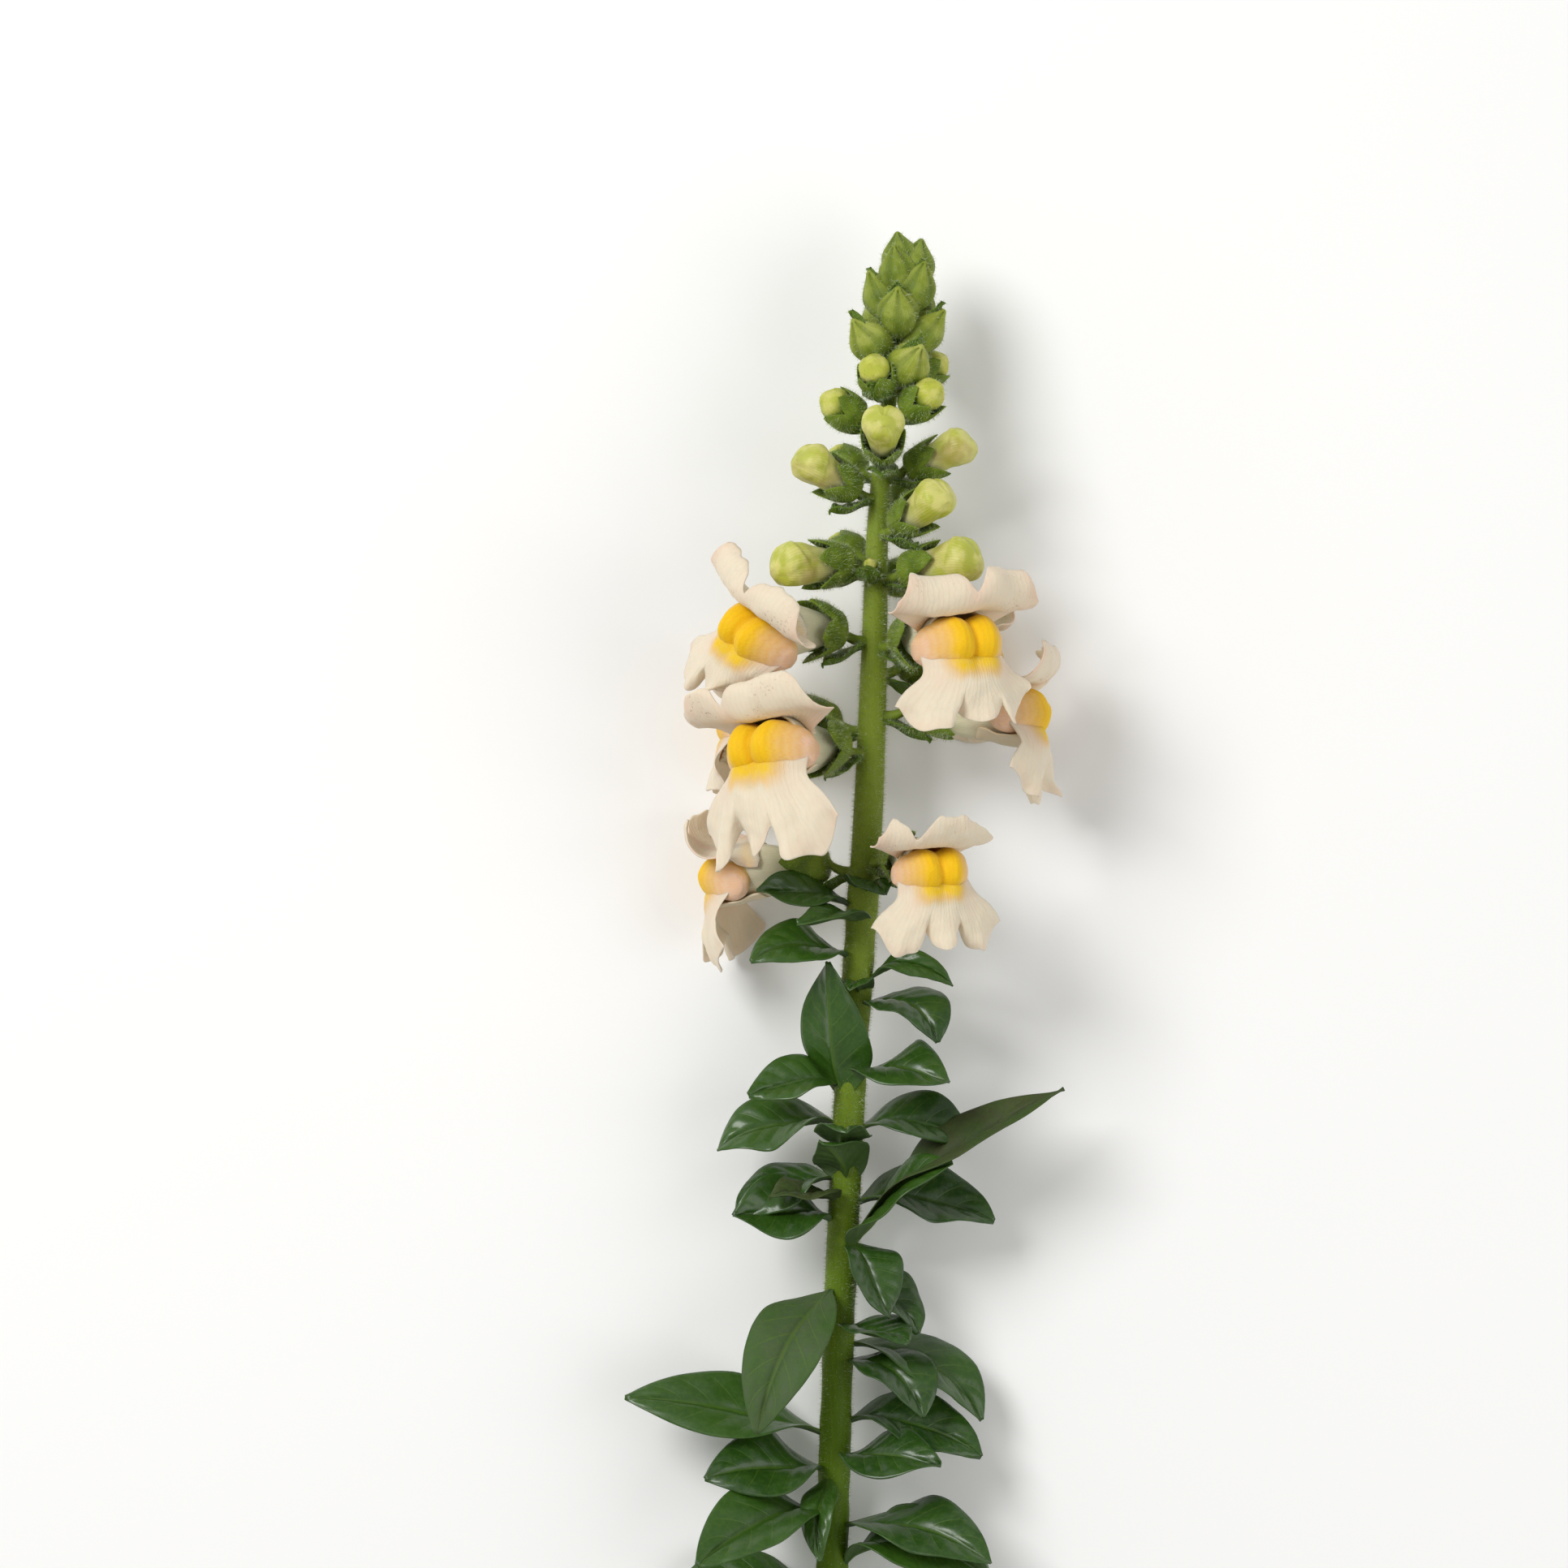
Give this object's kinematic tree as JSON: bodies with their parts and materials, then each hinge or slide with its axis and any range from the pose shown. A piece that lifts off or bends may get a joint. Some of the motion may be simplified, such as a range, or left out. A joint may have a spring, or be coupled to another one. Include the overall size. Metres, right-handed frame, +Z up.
{
  "type": "snapdragon stem",
  "caption": "Cut snapdragon stem lying down, with blush lipped florets, yellow palates, lime buds, a green tip and glossy leaves.",
  "frame": {"origin": "on the surface that the stem lies on, under the stem, 20 mm from its cut end", "axes": "+Y runs along the stem to its tip, +Z is up, away from the surface that it lies on, and +X is to the right of someone who looks down on it with the tip away from them"},
  "size_m": [0.1002, 0.5409, 0.0655],
  "materials": {
    "green": "living green stem and leaves, satin",
    "petal": "soft velvety petal, matt",
    "palate": "velvety yellow petal, matt",
    "bud": "closed yellow-green petal, satin"
  },
  "bodies": {
    "root": {"stem": "green", "corolla_01": "petal", "corolla_02": "petal", "corolla_03": "petal", "corolla_04": "petal", "corolla_05": "petal", "corolla_06": "petal", "corolla_07": "petal", "corolla_08": "petal", "palate_01": "palate", "palate_02": "palate", "palate_03": "palate", "palate_04": "palate", "palate_05": "palate", "palate_06": "palate", "palate_07": "palate", "palate_08": "palate", "bud_01": "bud", "bud_02": "bud", "bud_03": "bud", "bud_04": "bud", "bud_05": "bud", "bud_06": "bud"}
  },
  "joints": []
}
